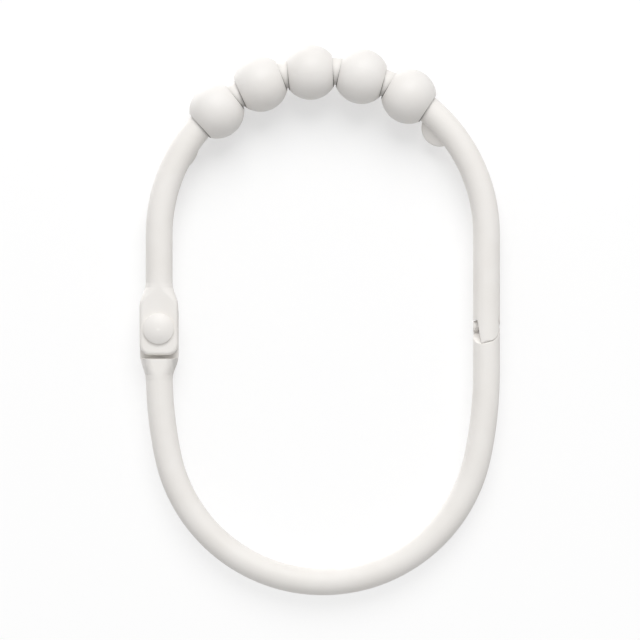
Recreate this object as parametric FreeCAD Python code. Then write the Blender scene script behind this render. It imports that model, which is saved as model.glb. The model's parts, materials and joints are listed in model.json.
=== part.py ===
# Shower curtain hook: a hinged oval ring of round wire with five roller balls.
# The ring lies in the XZ plane, as it hangs: +Z is up, the rod runs along Y, and the rivet head faces -Y.
# The origin is the centre of the arch, inside which the rod hangs. All sizes are in millimetres.

import FreeCAD, Part
import math
import os

V = FreeCAD.Vector

# Wire and outline of the ring, on the wire's centreline
wire_diameter = 3.65
arch_radius = 22.3            # half circle over the rod
side_length = 18.5            # straight sides, below the centre of the arch
flank_radius = 57.0           # slow curve between a straight side and the rounded bottom
bow_drop = 28.8               # from the end of the straight sides down to the lowest point

# Roller balls on the arch
bead_count = 5
bead_diameter = 7.5
bead_clearance = 0.08         # between the bore and the curved wire
bead_gap = 0.735              # along the wire, from one bore mouth to the next
bead_mouth_chamfer = 0.12     # broken edge of each bore mouth
row_shift = 4.4               # degrees by which the row of balls sits towards the rivet

# Ears pressed out of the wire past both ends of the row of balls
ear_reach = 3.5               # from the wire's centreline
ear_half_length = 2.2
ear_thickness = 1.1
ear_edge_round = 0.4
ear_slack_rivet_side = 1.9    # free wire between the row of balls and the ear
ear_slack_clasp_side = 0.8
ear_turn_rivet_side = 64.0    # degrees from straight inwards towards the back
ear_turn_clasp_side = 30.0

# Flattened eyes, as distances from the rivet's axis
rivet_drop = 12.8             # rivet axis below the centre of the arch
eye_width = 5.2
eye_thickness = 1.7
eye_gap = 0.1                 # running gap between the two eyes
eye_end = 3.6                 # square end of each eye
eye_corner = 1.4
eye_edge_round = 0.5
arch_neck_near = 3.1          # the arch's eye has its full width up to here
arch_neck_far = 6.2           # and is round wire from here on
bow_neck_near = 3.7           # the same for the bow's
bow_neck_far = 7.0
neck_steps = 5
lap_near = 4.05               # the half cut away for the other eye is flat up to here,
arch_lap_ramp = 2.4           # then curves out of the arch's wire over this length
bow_lap_ramp = 1.5            # and out of the bow's over this
lap_overrun = 0.03            # how far past the wire's surface the curve ends

# Rivet through the two eyes
shank_diameter = 2.2
pivot_clearance = 0.06        # between the shank and the bow's eye
head_play = 0.06              # between the back head and the bow's eye
front_head_diameter = 4.15
front_head_height = 0.95
back_head_diameter = 3.8
back_head_height = 0.8
head_land = 0.35              # straight rim under each dome

# Clasp: a hooked claw at the front of the arch's end holds a nose at the back of the bow's end
shoulder_drop = 11.2          # arch's shoulder, below the centre of the arch
shoulder_chamfer = 0.45
clasp_tilt = 15.0             # degrees by which shoulder, pocket and nose rise towards the outside
claw_neck = 0.95              # thinnest part of the claw
nose_neck = 1.2               # thinnest part of the nose
clasp_gap = 0.1               # between the closed claw and nose
pocket_mouth_angle = 70.0     # degrees above the horizontal where the claw's round pocket begins
barb_angle = 62.0             # degrees below the horizontal where it ends, at the barb
claw_slope = 37.0             # slope of the claw's end face, in degrees
claw_blunt = 0.15             # cut off the claw's tip at the front
claw_step_depth = 0.4         # below the shoulder, where the claw's narrowed sides begin
claw_inner_side = (1.3, 0.8)  # distance from the wire's centreline at that step and at the tip
claw_outer_side = (1.86, 1.4)
nose_bulge = 1.0              # how far the nose reaches past its neck
nose_room = 0.2               # between the level of the nose's underside and the barb

wire_radius = wire_diameter / 2
bead_radius = bead_diameter / 2
shank_radius = shank_diameter / 2
eye_front = eye_gap / 2 + eye_thickness     # outer face of either eye, from the ring's mid-plane
rivet_point = V(-arch_radius, 0, -rivet_drop)
along_y = V(0, 1, 0)
downwards = V(0, 0, -1)
tiny = 1e-6


# Helpers

def one_solid(shape):
    assert len(shape.Solids) == 1, "expected one solid, found %d" % len(shape.Solids)
    return shape.Solids[0]


def turned(shape, base, axis, degrees):
    copy = shape.copy()
    copy.rotate(base, axis, degrees)
    return copy


def cosine(degrees):
    return math.cos(math.radians(degrees))


def sine(degrees):
    return math.sin(math.radians(degrees))


def line(start, end):
    return Part.LineSegment(start, end).toShape()


def chain(points):
    return [line(a, b) for a, b in zip(points, points[1:])]


def arc(points):
    return Part.Arc(*points).toShape()


def ring_point(centre, radius, degrees):
    """Point of a circle in the XZ plane: 0 degrees is along +X and 90 is straight up."""
    return centre + V(radius * cosine(degrees), 0, radius * sine(degrees))


def ring_arc(centre, radius, start, end):
    return arc([ring_point(centre, radius, a) for a in (start, (start + end) / 2, end)])


def swept_wire(edges, start, direction):
    """Round wire along a path of tangent lines and arcs."""
    profile = Part.Wire([Part.Circle(start, direction, wire_radius).toShape()])
    swept = Part.Wire(edges).makePipeShell([profile], True, False)
    length = sum(e.Length for e in edges)
    print("wire of %.2f mm, volume off by %.5f" % (length, swept.Volume / length / profile_area() - 1))
    return swept


def profile_area():
    return math.pi * wire_radius ** 2


def section(point, direction, half_width, back, front, corner):
    """Rounded rectangle across the wire, between two offsets along Y: four corner arcs and four lines."""
    across = direction.cross(along_y).normalize()
    centres = [(half_width - corner, back - corner), (corner - half_width, back - corner),
               (corner - half_width, front + corner), (half_width - corner, front + corner)]
    corners = []
    for i, (u, v) in enumerate(centres):
        angles = (90 * i, 90 * i + 45, 90 * i + 90)
        corners.append([point + across * (u + corner * cosine(a)) + along_y * (v + corner * sine(a))
                        for a in angles])
    edges = []
    for i, points in enumerate(corners):
        edges.append(arc(points))
        edges.append(line(points[2], corners[(i + 1) % 4][0]))
    return Part.Wire(edges)


def round_section(point, direction):
    """The wire's circle in eight arcs, which match the corners and sides of the flattened sections."""
    across = direction.cross(along_y).normalize()
    breaks = [3, 87, 93, 177, 183, 267, 273, 357, 363]
    edges = []
    for start, end in zip(breaks, breaks[1:]):
        angles = (start, (start + end) / 2, end)
        edges.append(arc([point + across * (wire_radius * cosine(a)) + along_y * (wire_radius * sine(a))
                          for a in angles]))
    return Part.Wire(edges)


# Outline of the ring

def flank_centre(side):
    return V(side * (arch_radius - flank_radius), 0, -side_length)


def bow_bottom():
    """Radius and centre of the rounded bottom, and the angle below the horizontal where a flank meets it."""
    bottom_radius = ((2 * flank_radius * arch_radius - arch_radius ** 2 - bow_drop ** 2)
                     / (2 * (flank_radius - bow_drop)))
    rise = bow_drop - bottom_radius
    centre = V(0, 0, -side_length - rise)
    return bottom_radius, centre, math.degrees(math.atan2(rise, flank_radius - arch_radius))


def flank_angle(drop):
    """Angle on the flank's curve of a point this far below the centre of the arch."""
    return math.degrees(math.asin(max(drop - side_length, 0) / flank_radius))


# Flattened eyes

def eye_plate(near):
    """Eye in front of the mid-plane, from its neck above the rivet down to its square end."""
    half = eye_width / 2
    centre = rivet_point - along_y * eye_front
    inner = half - eye_corner
    low = eye_corner - eye_end
    right_top = centre + V(half, 0, near)
    left_top = centre + V(-half, 0, near)
    edges = [
        line(left_top, centre + V(-half, 0, low)),
        ring_arc(centre + V(-inner, 0, low), eye_corner, 180, 270),
        line(centre + V(-inner, 0, -eye_end), centre + V(inner, 0, -eye_end)),
        ring_arc(centre + V(inner, 0, low), eye_corner, 270, 360),
        line(centre + V(half, 0, low), right_top),
        line(right_top, left_top),
    ]
    plate = Part.Face(Part.Wire(edges)).extrude(along_y * eye_thickness)
    rim = [e for e in plate.Edges
           if e.BoundBox.YMax < -eye_front + tiny and e.BoundBox.ZMin < right_top.z - tiny]
    return plate.makeFillet(eye_edge_round, rim)


def half_turn(shape):
    """Half turn about the X direction through the rivet, from the arch's eye to the bow's."""
    return turned(shape, rivet_point, V(1, 0, 0), 180)


def lap_cutter(ramp):
    """Room behind the arch's eye: flat beside the rivet, then curving out of the wire."""
    inside = -eye_gap / 2
    outside = wire_diameter
    level = rivet_point.z + lap_near
    bottom = rivet_point.z - eye_width
    end = V(0, wire_radius + lap_overrun, level + ramp)
    rise = end.y - inside
    radius = (ramp ** 2 + rise ** 2) / (2 * rise)
    half_sweep = math.asin(ramp / radius) / 2
    middle = end - V(0, radius * (1 - math.cos(half_sweep)), radius * math.sin(half_sweep))
    start = V(0, inside, level)
    edges = [arc([start, middle, end])]
    edges += chain([end, V(0, outside, end.z), V(0, outside, bottom), V(0, inside, bottom), start])
    face = Part.Face(Part.Wire(edges))
    face.translate(V(-arch_radius - eye_width, 0, 0))
    return face.extrude(V(2 * eye_width, 0, 0))


def rivet_hole(radius):
    return Part.makeCylinder(radius, 2 * wire_diameter, rivet_point - along_y * wire_diameter, along_y)


# Clasp: outlines in the YZ plane, as offsets along Y and depths below the arch's shoulder

pocket_radius = (wire_diameter - claw_neck - nose_neck - clasp_gap) / (1 + cosine(barb_angle))
pocket_y = claw_neck - wire_radius + pocket_radius
pocket_depth = pocket_radius * sine(pocket_mouth_angle)
barb_y = pocket_y + pocket_radius * cosine(barb_angle)
barb_depth = pocket_depth + pocket_radius * sine(barb_angle)
claw_rise = sine(claw_slope) / cosine(claw_slope)
blunt_y = claw_blunt - wire_radius
blunt_depth = barb_depth + (barb_y - blunt_y) * claw_rise


def clasp_point(y, depth):
    return V(arch_radius, y, -shoulder_drop - depth)


def clasp_arc(y, depth, radius, start, end):
    angles = (start, (start + end) / 2, end)
    return arc([clasp_point(y + radius * cosine(a), depth - radius * sine(a)) for a in angles])


def through_wire(edges):
    """Solid of a closed outline, right through the wire from its inside to its outside."""
    through = V(wire_diameter, 0, wire_diameter * sine(clasp_tilt) / cosine(clasp_tilt))
    face = Part.Face(Part.Wire(edges))
    face.translate(through * -1)
    return face.extrude(through * 2)


def claw_cutter():
    """All that is taken from the arch's end: behind the claw, in its pocket and below its end face."""
    wide = wire_diameter
    below = blunt_depth + wide
    chamfer_y = wire_radius - shoulder_chamfer
    mouth_y = pocket_y + pocket_radius * cosine(pocket_mouth_angle)
    edges = chain([clasp_point(wide, chamfer_y - wide), clasp_point(chamfer_y, 0), clasp_point(mouth_y, 0)])
    edges.append(clasp_arc(pocket_y, pocket_depth, pocket_radius, pocket_mouth_angle, 360 - barb_angle))
    edges += chain([clasp_point(barb_y, barb_depth), clasp_point(blunt_y, blunt_depth),
                    clasp_point(-wide, blunt_depth - (blunt_y + wide) / claw_rise),
                    clasp_point(-wide, below), clasp_point(wide, below),
                    clasp_point(wide, chamfer_y - wide)])
    return through_wire(edges)


def claw_side_cutter(side, offsets):
    """What is taken from one side of the claw, so that it narrows towards its tip."""
    start, tip = offsets
    end_depth = blunt_depth + wire_radius
    end = start + (tip - start) * (end_depth - claw_step_depth) / (blunt_depth - claw_step_depth)
    outline = [(wire_diameter, claw_step_depth), (start, claw_step_depth), (end, end_depth),
               (wire_diameter, end_depth), (wire_diameter, claw_step_depth)]
    points = [clasp_point(-wire_diameter, depth) + V(side * offset, 0, 0) for offset, depth in outline]
    return Part.Face(Part.Wire(chain(points))).extrude(along_y * (2 * wire_diameter))


def nose_cutter():
    """All that is taken from the bow's end: above and in front of the nose and above its sloping seat."""
    wide = wire_diameter
    neck_y = barb_y + clasp_gap
    nose_radius = (barb_depth - clasp_gap - nose_room) / 2
    nose_y = neck_y - nose_bulge + nose_radius
    nose_depth = clasp_gap + nose_radius
    under = 360 - math.degrees(math.acos((neck_y - nose_y) / nose_radius))
    under_depth = nose_depth - nose_radius * sine(under)
    seat = barb_depth + clasp_gap / cosine(claw_slope)
    edges = chain([clasp_point(-wide, seat + (barb_y + wide) * claw_rise), clasp_point(-wide, -wide),
                   clasp_point(wide, -wide), clasp_point(wide, clasp_gap), clasp_point(nose_y, clasp_gap)])
    edges.append(clasp_arc(nose_y, nose_depth, nose_radius, 90, under))
    edges += chain([clasp_point(neck_y, under_depth),
                    clasp_point(neck_y, seat + (barb_y - neck_y) * claw_rise),
                    clasp_point(-wide, seat + (barb_y + wide) * claw_rise)])
    return through_wire(edges)


# Roller balls and their stops

def bead_sizes():
    """Bore radius, half length along the wire and inward offset of a ball on the curved wire."""
    straight_bore = wire_radius + bead_clearance
    half_length = math.sqrt(bead_radius ** 2 - straight_bore ** 2)
    offset = (arch_radius - math.sqrt(arch_radius ** 2 - half_length ** 2)) / 2
    bore = straight_bore + offset
    return bore, math.sqrt(bead_radius ** 2 - bore ** 2), offset


bore_radius, bead_half_length, bead_offset = bead_sizes()
bead_pitch = math.degrees((2 * bead_half_length + bead_gap) / arch_radius)


def bead_angle(index):
    """Degrees from the top of the arch, positive towards the clasp."""
    return (index - (bead_count - 1) / 2) * bead_pitch - row_shift


def bead(index):
    angle = 90 - bead_angle(index)
    centre = ring_point(V(0, 0, 0), arch_radius - bead_offset, angle)
    tangent = V(sine(angle), 0, -cosine(angle))
    rim_radius = bore_radius + bead_mouth_chamfer
    rim_height = math.sqrt(bead_radius ** 2 - rim_radius ** 2)
    bore_end = bead_half_length - bead_mouth_chamfer
    upper_rim, lower_rim = V(rim_radius, rim_height, 0), V(rim_radius, -rim_height, 0)
    edges = [arc([upper_rim, V(bead_radius, 0, 0), lower_rim])]
    edges += chain([lower_rim, V(bore_radius, -bore_end, 0), V(bore_radius, bore_end, 0), upper_rim])
    ball = Part.Face(Part.Wire(edges)).revolve(V(0, 0, 0), along_y, 360)
    ball.Placement = FreeCAD.Placement(centre, FreeCAD.Rotation(along_y, tangent))
    return one_solid(ball)


def ear(side, slack, turn):
    """Round-ended ear pressed out of the wire past one end of the row of balls."""
    last = bead_angle(0) if side < 0 else bead_angle(bead_count - 1)
    past = math.degrees((bead_half_length + slack + ear_half_length) / arch_radius)
    angle = 90 - (last + side * past)
    centre = ring_point(V(0, 0, 0), arch_radius, angle)
    tangent = V(sine(angle), 0, -cosine(angle))
    inwards = V(-cosine(angle), 0, -sine(angle))
    outwards = inwards * cosine(turn) + along_y * sine(turn)
    normal = tangent.cross(outwards)
    base = centre - normal * (ear_thickness / 2)
    start = base - tangent * ear_half_length
    end = base + tangent * ear_half_length
    edges = [arc([start, base + outwards * ear_reach, end]), line(end, start)]
    tab = Part.Face(Part.Wire(edges)).extrude(normal * ear_thickness)
    rims = [e for e in tab.Edges if isinstance(e.Curve, Part.Circle)]
    return tab.makeFillet(ear_edge_round, rims)


# Pieces

def neck(round_start, direction, side, near, far):
    """Change from the flat eye to round wire. The eye's outer face is in front (-1) or at the back (1)."""
    sections = [round_section(round_start, direction)]
    for step in range(1, neck_steps + 1):
        distance = far + (near - far) * step / neck_steps
        eased = (1 - cosine(180 * step / neck_steps)) / 2
        half_width = wire_radius + (eye_width / 2 - wire_radius) * eased
        outer = wire_radius + (eye_front - wire_radius) * eased
        corner = wire_radius + (eye_edge_round - wire_radius) * eased
        back, front = (wire_radius, -outer) if side < 0 else (outer, -wire_radius)
        point = rivet_point - V(0, 0, side * distance)
        sections.append(section(point, downwards, half_width, back, front, corner))
    return Part.makeLoft(sections, True, True)


def upper_arch():
    centre = V(0, 0, 0)
    start = rivet_point + V(0, 0, arch_neck_far)
    path = [line(start, V(-arch_radius, 0, 0)), ring_arc(centre, arch_radius, 180, 0),
            line(V(arch_radius, 0, 0), clasp_point(0, blunt_depth + wire_radius))]
    body = swept_wire(path, start, V(0, 0, 1))
    body = body.fuse([neck(start, downwards, -1, arch_neck_near, arch_neck_far),
                      eye_plate(arch_neck_near),
                      ear(-1, ear_slack_rivet_side, ear_turn_rivet_side),
                      ear(1, ear_slack_clasp_side, ear_turn_clasp_side)])
    body = body.cut([lap_cutter(arch_lap_ramp), rivet_hole(shank_radius), claw_cutter(),
                     claw_side_cutter(-1, claw_inner_side), claw_side_cutter(1, claw_outer_side)])
    return one_solid(body.removeSplitter())


def lower_bow():
    bottom_radius, bottom_centre, meet = bow_bottom()
    left, right = flank_centre(-1), flank_centre(1)
    first = 180 + flank_angle(rivet_drop + bow_neck_far)
    start = ring_point(left, flank_radius, first)
    direction = V(-sine(first), 0, cosine(first))
    path = [ring_arc(left, flank_radius, first, 180 + meet),
            ring_arc(bottom_centre, bottom_radius, 180 + meet, 360 - meet),
            ring_arc(right, flank_radius, -meet, 0),
            line(V(arch_radius, 0, -side_length), clasp_point(0, -wire_radius))]
    body = swept_wire(path, start, direction)
    body = body.fuse([neck(start, direction, 1, bow_neck_near, bow_neck_far),
                      half_turn(eye_plate(bow_neck_near))])
    hole = rivet_hole(shank_radius + pivot_clearance)
    body = body.cut([half_turn(lap_cutter(bow_lap_ramp)), hole, nose_cutter()])
    return one_solid(body.removeSplitter())


def dome_arc(radius, rim_y, tip_y):
    """Spherical dome in the half plane of a revolved outline, from its rim to its tip on the axis."""
    height = abs(tip_y - rim_y)
    sphere = (radius ** 2 + height ** 2) / (2 * height)
    outward = 1 if tip_y > rim_y else -1
    middle = radius / 2
    middle_y = tip_y - outward * (sphere - math.sqrt(sphere ** 2 - middle ** 2))
    return arc([V(radius, rim_y, 0), V(middle, middle_y, 0), V(0, tip_y, 0)])


def pivot_rivet():
    front, back = -eye_front, eye_front + head_play
    front_radius, back_radius = front_head_diameter / 2, back_head_diameter / 2
    front_tip, back_tip = front - front_head_height, back + back_head_height
    edges = [line(V(0, back_tip, 0), V(0, front_tip, 0)),
             dome_arc(front_radius, front - head_land, front_tip)]
    edges += chain([V(front_radius, front - head_land, 0), V(front_radius, front, 0),
                    V(shank_radius, front, 0), V(shank_radius, back, 0), V(back_radius, back, 0),
                    V(back_radius, back + head_land, 0)])
    edges.append(dome_arc(back_radius, back + head_land, back_tip))
    outline = Part.Wire(Part.__sortEdges__(edges))
    body = Part.Face(outline).revolve(V(0, 0, 0), along_y, 360)
    body.translate(rivet_point)
    return one_solid(body)


parts = {"upper_arch": upper_arch(), "lower_bow": lower_bow(), "pivot_rivet": pivot_rivet()}
for number in range(bead_count):
    parts["bead_%d" % (number + 1)] = bead(number)

os.makedirs("parts", exist_ok=True)
for name, shape in parts.items():
    assert shape.isValid(), name
    shape.exportStep("parts/%s.step" % name)
    box = shape.BoundBox
    print("%-12s %9.3f mm3  x %.2f..%.2f  y %.2f..%.2f  z %.2f..%.2f" % (
        name, shape.Volume, box.XMin, box.XMax, box.YMin, box.YMax, box.ZMin, box.ZMax))
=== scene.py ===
"""Looks of the shower curtain hook: a white coated wire ring with roller balls, before a pale backdrop.

Lengths are in metres, apart from those of the camera's lens and sensor.
"""

import json
import math

import bpy
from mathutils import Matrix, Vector


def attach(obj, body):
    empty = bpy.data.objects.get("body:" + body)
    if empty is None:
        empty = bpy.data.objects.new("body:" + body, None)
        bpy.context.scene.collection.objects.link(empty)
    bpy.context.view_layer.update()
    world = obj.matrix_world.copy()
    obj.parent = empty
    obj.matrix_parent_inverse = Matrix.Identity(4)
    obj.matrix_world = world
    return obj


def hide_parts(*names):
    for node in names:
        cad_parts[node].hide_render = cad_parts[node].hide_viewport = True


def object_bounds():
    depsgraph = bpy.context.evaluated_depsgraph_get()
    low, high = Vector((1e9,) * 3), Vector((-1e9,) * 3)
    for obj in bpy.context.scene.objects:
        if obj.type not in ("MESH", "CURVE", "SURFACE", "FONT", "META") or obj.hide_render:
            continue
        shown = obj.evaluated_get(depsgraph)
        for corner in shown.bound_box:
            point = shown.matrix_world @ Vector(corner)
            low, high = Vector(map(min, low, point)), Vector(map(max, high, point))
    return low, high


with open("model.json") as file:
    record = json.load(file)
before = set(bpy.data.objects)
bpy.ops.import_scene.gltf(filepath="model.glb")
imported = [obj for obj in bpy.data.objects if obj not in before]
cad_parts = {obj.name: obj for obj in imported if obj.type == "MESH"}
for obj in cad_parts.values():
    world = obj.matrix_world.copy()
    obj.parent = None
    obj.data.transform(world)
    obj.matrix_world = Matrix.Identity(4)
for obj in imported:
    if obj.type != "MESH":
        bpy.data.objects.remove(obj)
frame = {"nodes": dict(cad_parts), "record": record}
cad_low, cad_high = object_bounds()

MM = 0.001
RING_CENTRE = (Vector(cad_low) + Vector(cad_high)) / 2
JOINTS = {joint["name"]: joint for joint in frame["record"]["behaviour"]["joints"]}

# Camera: face-on, as in the photograph, from far enough for a nearly parallel view
FRAME_FILL = 0.86    # share of the picture's height that the ring takes
LENS_MM = 180.0
SENSOR_MM = 36.0

# Stage: a paper that leans along the ring's back, and a floor
PAPER_TOP_Y = cad_high[1] + 0.45 * MM    # at the ring's top, just behind the balls
PAPER_LOW_Y = 2.3 * MM    # at its bottom, just behind the wire
FLOOR_Z = cad_low[2] - 24 * MM    # low enough for the opened bow
STAGE_SIZE = 3.0
PAPER_RISE = (-40 * MM, 5 * MM)    # heights between which colour and glow change from one value to the other
PAPER_COLOUR = (0.32, 0.62)
PAPER_GLOW = (0.69, 0.4)    # painted light: the paper glows to lift its shadows, more strongly towards the bottom
PAPER_BOUNCE = (0.55, 0.55, 0.55)    # what it throws back on the ring, so that the outline stays visible

# Light: two large soft lamps, above in front and behind, and an even surround
WORLD_LEVEL = 0.565
LAMP_DISTANCE = 0.7
LAMP_SIZE = 0.55
KEY_DIRECTION = Vector((0.05, -0.7, 0.68)).normalized()
KEY_POWER = 2.95
REAR_DIRECTION = Vector((-0.5, 0.75, 0.6)).normalized()
REAR_POWER = 3.0

# Coats: two tones, as linear values, and the mean roughness
WIRE_LOOK = {"light": (0.885, 0.86, 0.828), "warm": (0.86, 0.832, 0.797), "roughness": 0.5}
BEAD_LOOK = {"light": (0.86, 0.838, 0.812), "warm": (0.835, 0.81, 0.78), "roughness": 0.46}
RIVET_LOOK = {"light": (0.885, 0.86, 0.83), "warm": (0.855, 0.827, 0.795), "roughness": 0.44}
COAT_IOR = 1.5
COAT_SPECULAR = 0.35
CLOUD_SIZE = 5 * MM
CLOUD_SPAN = (0.35, 0.65)    # noise values at which the light and the warm tone are reached
PATCH_SIZE = 1.4 * MM
PATCH_SPAN = (0.3, 0.7)    # noise values at which the least and the most roughness are reached
PATCH_CHANGE = (-0.05, 0.06)    # from the mean roughness to those two
PEEL_SIZE = 0.55 * MM
PEEL_DEPTH = 0.004 * MM
GRAIN_SIZE = 0.12 * MM
GRAIN_DEPTH = 0.001 * MM
EDGE_RADIUS = 0.12 * MM    # to which the coat rounds cut edges

# Painted shade: a dark colour in the balls' holes and on the inner side of their mouths, standing in for the
# dark line of shadow in the gaps between balls and wire
PAINTED_BORE_SHADE = (0.2, 0.19, 0.175)
PAINTED_SHADE_EDGE = (2.14 * MM, 2.21 * MM)    # the painted shade fades out between these distances from its axis,
PAINTED_SHADE_LEAN = 0.12 * MM    # which lies this much nearer to the arch's centre than the ball's own

# Half laps of the two wires beside their eyes, as in the solids, measured from the rivet's axis
RIVET_X, RIVET_Y, RIVET_Z = JOINTS["bow_hinge"]["pos_m"]
WIRE_RADIUS = 1.825 * MM
EYE_HALF_WIDTH = 2.6 * MM
ARCH_NECK = (3.1 * MM, 6.2 * MM)    # from the eye's full width to round wire
BOW_NECK = (3.7 * MM, 7.0 * MM)
NECK_STEPS = 5
LAP_NEAR = 4.05 * MM    # where both ramps start
ARCH_RAMP = 2.4 * MM
BOW_RAMP = 1.5 * MM
LAP_OVERRUN = 0.03 * MM    # how far past the wire's surface a ramp ends
LAP_GAP = 0.05 * MM    # half the gap between the two eyes

# How the scene's half laps differ from those
LAP_SQUARED = 0.08    # share that is left of a ramp's length
LAP_FLARE = 0.3 * MM    # how much wider than round wire a neck still is at its step
LAP_BLEND = 0.5 * MM    # depth over which a neck changes to that width

# Which of a mesh's points and faces belong to a half lap
NECK_MARGIN = 0.1 * MM    # beyond both ends of it
NECK_SEARCH = 4 * MM    # to both sides of the rivet's axis
FACE_MARGIN = 0.01 * MM    # below its flat face
RAMP_MARGIN = 0.012 * MM    # to both sides of its ramp's arc
RAMP_FACING = 0.02    # least part of a ramp's normal that points along the wire


def add_node(tree, kind, place, **values):
    """A shader node, with each value on its input of that name or else on the node itself."""
    node = tree.nodes.new(kind)
    node.location = place
    for name, value in values.items():
        if name in node.inputs:
            node.inputs[name].default_value = value
        else:
            setattr(node, name, value)
    return node


def noise(tree, points, size, place, detail):
    """Noise whose cells are about this large, in metres."""
    node = add_node(tree, "ShaderNodeTexNoise", place, Scale=1 / size, Detail=detail, Roughness=0.5)
    tree.links.new(points, node.inputs["Vector"])
    return node.outputs["Fac"]


def ranged(tree, value, span, new_span, place):
    """The value, with the first span stretched to the new one, and held at its ends."""
    node = add_node(tree, "ShaderNodeMapRange", place)
    for name, number in zip(("From Min", "From Max", "To Min", "To Max"), (*span, *new_span)):
        node.inputs[name].default_value = number
    tree.links.new(value, node.inputs["Value"])
    return node.outputs["Result"]


def larger(tree, first, second, place):
    node = add_node(tree, "ShaderNodeMath", place, operation="MAXIMUM")
    tree.links.new(first, node.inputs[0])
    tree.links.new(second, node.inputs[1])
    return node.outputs[0]


def mixed_colour(tree, share, first, second, place):
    """Mix of two colours, each three numbers or a node's output. A share of 1 is all of the second."""
    node = add_node(tree, "ShaderNodeMix", place, data_type="RGBA")
    tree.links.new(share, node.inputs["Factor"])
    colours = {socket.name: socket for socket in node.inputs if socket.type == "RGBA"}
    for name, colour in (("A", first), ("B", second)):
        if isinstance(colour, bpy.types.NodeSocket):
            tree.links.new(colour, colours[name])
        else:
            colours[name].default_value = (*colour, 1)
    return next(socket for socket in node.outputs if socket.type == "RGBA")


def mixed_shader(tree, share, first, second, place):
    """Mix of two shaders. A share of 1 is all of the second."""
    node = add_node(tree, "ShaderNodeMixShader", place)
    for source, socket in zip((share, first, second), node.inputs):
        tree.links.new(source, socket)
    return node.outputs[0]


def bumped(tree, height, depth, normal, place):
    node = add_node(tree, "ShaderNodeBump", place, Strength=1.0, Distance=depth)
    tree.links.new(height, node.inputs["Height"])
    tree.links.new(normal, node.inputs["Normal"])
    return node.outputs["Normal"]


def painted_shade_axis(number):
    """A point and a direction of the axis round which this ball's painted shade lies."""
    roll = JOINTS["ball_" + number + "_roll"]
    centre = Vector(roll["pos_m"])
    return centre - centre.normalized() * PAINTED_SHADE_LEAN, roll["axis"]


def outside_painted_shade(tree, points, centre, axis):
    """0 for the painted shade, inside a ball's hole and in its mouths, and 1 further out."""
    from_centre = add_node(tree, "ShaderNodeVectorMath", (-900, 800), operation="SUBTRACT")
    from_centre.inputs[1].default_value = centre
    tree.links.new(points, from_centre.inputs[0])
    across = add_node(tree, "ShaderNodeVectorMath", (-700, 800), operation="CROSS_PRODUCT")
    across.inputs[1].default_value = axis
    tree.links.new(from_centre.outputs["Vector"], across.inputs[0])
    distance = add_node(tree, "ShaderNodeVectorMath", (-500, 800), operation="LENGTH")
    tree.links.new(across.outputs["Vector"], distance.inputs[0])
    return ranged(tree, distance.outputs["Value"], PAINTED_SHADE_EDGE, (0, 1), (-300, 800))


def coat_material(name, light, warm, roughness, painted_shade_at=None):
    """Smooth sprayed and baked coat: faint clouds of tone, orange peel, and a fine grain."""
    material = bpy.data.materials.new(name)
    material.use_nodes = True
    tree = material.node_tree
    shader = tree.nodes["Principled BSDF"]
    shader.inputs["IOR"].default_value = COAT_IOR
    shader.inputs["Specular IOR Level"].default_value = COAT_SPECULAR
    points = add_node(tree, "ShaderNodeTexCoord", (-1100, 0)).outputs["Object"]

    clouds = noise(tree, points, CLOUD_SIZE, (-850, 300), detail=3)
    warmth = ranged(tree, clouds, CLOUD_SPAN, (0, 1), (-650, 300))
    colour = mixed_colour(tree, warmth, light, warm, (-400, 300))
    # painted shade: dark colour in the hole and on the inner side of the mouths, for the shadow in the gaps
    if painted_shade_at:
        colour = mixed_colour(tree, outside_painted_shade(tree, points, *painted_shade_at), PAINTED_BORE_SHADE, colour, (-150, 500))
    tree.links.new(colour, shader.inputs["Base Color"])

    patches = noise(tree, points, PATCH_SIZE, (-850, 0), detail=2)
    least_and_most = [roughness + change for change in PATCH_CHANGE]
    patched = ranged(tree, patches, PATCH_SPAN, least_and_most, (-400, 0))
    tree.links.new(patched, shader.inputs["Roughness"])

    soft_edges = add_node(tree, "ShaderNodeBevel", (-850, -800), samples=8, Radius=EDGE_RADIUS)
    peel = noise(tree, points, PEEL_SIZE, (-850, -300), detail=1)
    peeled = bumped(tree, peel, PEEL_DEPTH, soft_edges.outputs["Normal"], (-500, -400))
    grain = noise(tree, points, GRAIN_SIZE, (-850, -550), detail=2)
    grained = bumped(tree, grain, GRAIN_DEPTH, peeled, (-250, -400))
    tree.links.new(grained, shader.inputs["Normal"])
    return material


def background_rays(tree, ray, place):
    """1 for the rays that show the background: straight from the camera, mirrored or through glass."""
    total = ray.outputs["Is Camera Ray"]
    for name in ("Is Glossy Ray", "Is Transmission Ray"):
        total = larger(tree, total, ray.outputs[name], place)
    return total


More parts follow.
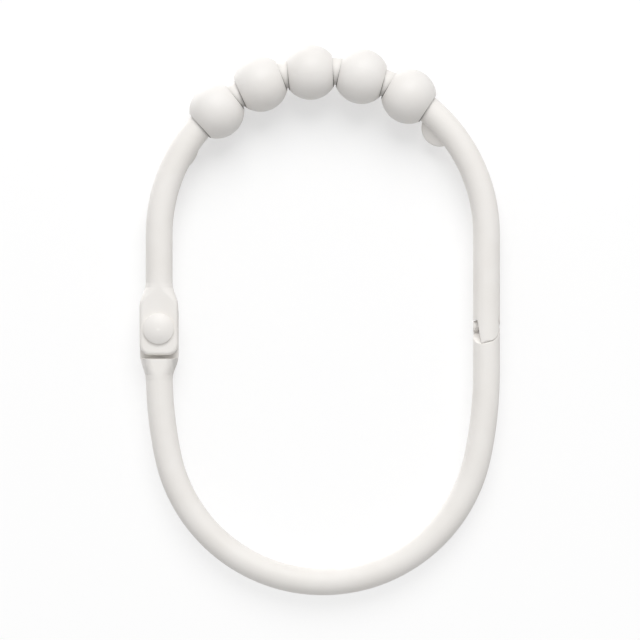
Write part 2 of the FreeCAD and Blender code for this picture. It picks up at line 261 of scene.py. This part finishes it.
def paper_material(name, see_through):
    """Pale lit paper, which throws less light back than the camera sees.

    With see_through it can't be seen from behind and blocks no lamp.
    """
    material = bpy.data.materials.new(name)
    material.use_nodes = True
    tree = material.node_tree
    tree.nodes.clear()
    points = add_node(tree, "ShaderNodeTexCoord", (-1400, -150))
    parts = add_node(tree, "ShaderNodeSeparateXYZ", (-1200, -150))
    tree.links.new(points.outputs["Object"], parts.inputs[0])
    height = parts.outputs["Z"]

    lit = add_node(tree, "ShaderNodeBsdfDiffuse", (-600, -100))
    tree.links.new(ranged(tree, height, PAPER_RISE, PAPER_COLOUR, (-900, -100)), lit.inputs["Color"])
    # painted light: a glow that lifts the paper's shadows, stronger lower down where the colour is darker
    glow = add_node(tree, "ShaderNodeEmission", (-600, -250), Color=(1, 1, 1, 1))
    tree.links.new(ranged(tree, height, PAPER_RISE, PAPER_GLOW, (-900, -350)), glow.inputs["Strength"])
    seen = add_node(tree, "ShaderNodeAddShader", (-400, -100))
    tree.links.new(lit.outputs[0], seen.inputs[0])
    tree.links.new(glow.outputs[0], seen.inputs[1])

    ray = add_node(tree, "ShaderNodeLightPath", (-800, 0))
    dim = add_node(tree, "ShaderNodeBsdfDiffuse", (-400, 100), Color=(*PAPER_BOUNCE, 1))
    is_seen = background_rays(tree, ray, (-600, 500))
    surface = mixed_shader(tree, is_seen, dim.outputs[0], seen.outputs[0], (-100, 0))
    if see_through:
        side = add_node(tree, "ShaderNodeNewGeometry", (-800, 300))
        clear = add_node(tree, "ShaderNodeBsdfTransparent", (-100, -200))
        is_clear = larger(tree, side.outputs["Backfacing"], ray.outputs["Is Shadow Ray"], (-400, 300))
        surface = mixed_shader(tree, is_clear, surface, clear.outputs[0], (200, 0))
    out = add_node(tree, "ShaderNodeOutputMaterial", (450, 0))
    tree.links.new(surface, out.inputs["Surface"])
    return material


def add_object(name, data):
    thing = bpy.data.objects.new(name, data)
    bpy.context.scene.collection.objects.link(thing)
    return thing


def paper(name, foot, head, see_through):
    """Flat paper across the stage, between two edges that are given as y and z."""
    half = STAGE_SIZE / 2
    corners = [(x, *edge) for x, edge in ((-half, foot), (half, foot), (half, head), (-half, head))]
    mesh = bpy.data.meshes.new(name)
    mesh.from_pydata(corners, [], [(0, 1, 2, 3)])
    mesh.materials.append(paper_material(name + "_paper", see_through))
    thing = add_object(name, mesh)
    return thing


def make_stage():
    half = STAGE_SIZE / 2
    slope = (PAPER_TOP_Y - PAPER_LOW_Y) / (cad_high[2] - cad_low[2])
    foot_y, head_y = (PAPER_LOW_Y + slope * (z - cad_low[2]) for z in (FLOOR_Z, half))
    paper("backdrop", (foot_y, FLOOR_Z), (head_y, half), see_through=True)
    floor = paper("floor", (-half, FLOOR_Z), (half, FLOOR_Z), see_through=False)
    floor.visible_diffuse = False
    floor.visible_glossy = False


def lamp(name, direction, power):
    light = bpy.data.lights.new(name, "AREA")
    light.shape = "DISK"
    light.size = LAMP_SIZE
    light.energy = power
    thing = add_object(name, light)
    thing.location = RING_CENTRE + direction * LAMP_DISTANCE
    thing.rotation_euler = direction.to_track_quat("Z", "Y").to_euler()


def make_light():
    world = bpy.data.worlds.new("studio")
    bpy.context.scene.world = world
    world.use_nodes = True
    tree = world.node_tree
    sky = tree.nodes["Background"]
    sky.inputs["Color"].default_value = (1, 1, 1, 1)
    ray = add_node(tree, "ShaderNodeLightPath", (-600, 0))
    level = ranged(tree, background_rays(tree, ray, (-600, 200)), (0, 1), (WORLD_LEVEL, 1), (-300, 0))
    tree.links.new(level, sky.inputs["Strength"])
    lamp("key", KEY_DIRECTION, KEY_POWER)
    lamp("rear", REAR_DIRECTION, REAR_POWER)


def make_camera():
    camera = bpy.data.cameras.new("camera")
    camera.lens = LENS_MM
    camera.sensor_width = SENSOR_MM
    camera.sensor_fit = "HORIZONTAL"
    picture_height = (cad_high[2] - cad_low[2]) / FRAME_FILL
    thing = add_object("camera", camera)
    thing.location = (RING_CENTRE.x, -picture_height * LENS_MM / SENSOR_MM, RING_CENTRE.z)
    thing.rotation_euler = (math.pi / 2, 0, 0)
    bpy.context.scene.camera = thing


def paint(thing, material):
    for slot in thing.material_slots:
        slot.material = material


def neck_half_width(along, near, far):
    """Half width of a neck at this distance from the rivet, as the solid's ruled sections have it."""
    if along >= far:
        return WIRE_RADIUS
    share = min(max((far - along) / (far - near), 0), 1) * NECK_STEPS
    step = min(int(share), NECK_STEPS - 1)
    low, high = ((1 - math.cos(math.pi * end / NECK_STEPS)) / 2 for end in (step, step + 1))
    return WIRE_RADIUS + (EYE_HALF_WIDTH - WIRE_RADIUS) * (low + (high - low) * (share - step))


def square_points(mesh, side, neck, ramp):
    """Draw a half lap's ramp in to a step, and slim the neck beyond it.

    along is a point's distance from the rivet and depth its distance from the wire's mid-plane, towards
    the half that is cut away. Returns the ramp's points, and how much wider each point's section has got.
    """
    near, far = neck
    rise = WIRE_RADIUS + LAP_OVERRUN + LAP_GAP
    radius = (ramp ** 2 + rise ** 2) / (2 * rise)
    arc_depth = rise - LAP_GAP - radius
    arc_along = LAP_NEAR + ramp
    on_ramp, widened = set(), {}
    for vertex in mesh.vertices:
        along = (RIVET_Z - vertex.co.z) * side
        depth = (RIVET_Y - vertex.co.y) * side
        across = vertex.co.x - RIVET_X
        in_neck = LAP_NEAR - NECK_MARGIN < along < far + NECK_MARGIN and abs(across) < NECK_SEARCH
        if not in_neck or depth <= -LAP_GAP - FACE_MARGIN:
            continue
        new_along = along
        from_arc = abs(math.hypot(depth - arc_depth, along - arc_along) - radius)
        if from_arc < RAMP_MARGIN and along < arc_along:
            on_ramp.add(vertex.index)
            new_along = LAP_NEAR + (along - LAP_NEAR) * LAP_SQUARED
        width = neck_half_width(along, near, far)
        kept = neck_half_width(new_along, near, far)
        slim = WIRE_RADIUS + LAP_FLARE * max((far - new_along) / (far - LAP_NEAR), 0) ** 2
        new_width = kept + (min(slim, kept) - kept) * min(max(depth / LAP_BLEND, 0), 1)
        vertex.co.x = RIVET_X + across / width * new_width
        vertex.co.z = RIVET_Z - new_along * side
        widened[vertex.index] = new_width / width
    return on_ramp, widened


def square_normals(mesh, normals, side, on_ramp, widened):
    """Turn the step's normals along the wire, and the neck's by as much as its section has changed."""
    for face in mesh.polygons:
        points = [mesh.loops[corner].vertex_index for corner in face.loop_indices]
        on_step = (all(point in on_ramp for point in points)
                   and all(normals[corner].z * side > RAMP_FACING for corner in face.loop_indices))
        for corner, point in zip(face.loop_indices, points):
            if on_step:
                normals[corner] = Vector((0, 0, side))
            elif point in widened:
                x, y, z = normals[corner]
                normals[corner] = Vector((x / widened[point], y, z * widened[point])).normalized()
    mesh.normals_split_custom_set(normals)


def squared_lap(node, body, side, neck, ramp, coat):
    """The wire of a node with its half lap cut square and slim, as the photograph shows it under the eye.

    side is 1 for the bow, whose half lap is below the rivet and in front, and -1 for the arch.
    """
    mesh = frame["nodes"][node].data.copy()
    mesh.name = node + "_wire"
    piece = add_object(mesh.name, mesh)
    normals = [corner.vector.copy() for corner in mesh.corner_normals]
    on_ramp, widened = square_points(mesh, side, neck, ramp)
    square_normals(mesh, normals, side, on_ramp, widened)
    paint(piece, coat)
    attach(piece, body)
    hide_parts(node)


make_camera()
make_stage()
make_light()

wire_coat = coat_material("wire_coat", **WIRE_LOOK)
rivet_coat = coat_material("rivet_coat", **RIVET_LOOK)
for node, thing in frame["nodes"].items():
    if node.startswith("bead_"):
        number = node[-1]
        # each ball gets its own coat, with painted shade round its hole's axis
        paint(thing, coat_material("bead_coat_" + number, **BEAD_LOOK, painted_shade_at=painted_shade_axis(number)))
    elif node == "pivot_rivet":
        paint(thing, rivet_coat)
    else:
        paint(thing, wire_coat)
squared_lap("lower_bow", "bow", 1, BOW_NECK, BOW_RAMP, wire_coat)
squared_lap("upper_arch", "arch", -1, ARCH_NECK, ARCH_RAMP, wire_coat)

bpy.context.scene.view_settings.view_transform = "Standard"
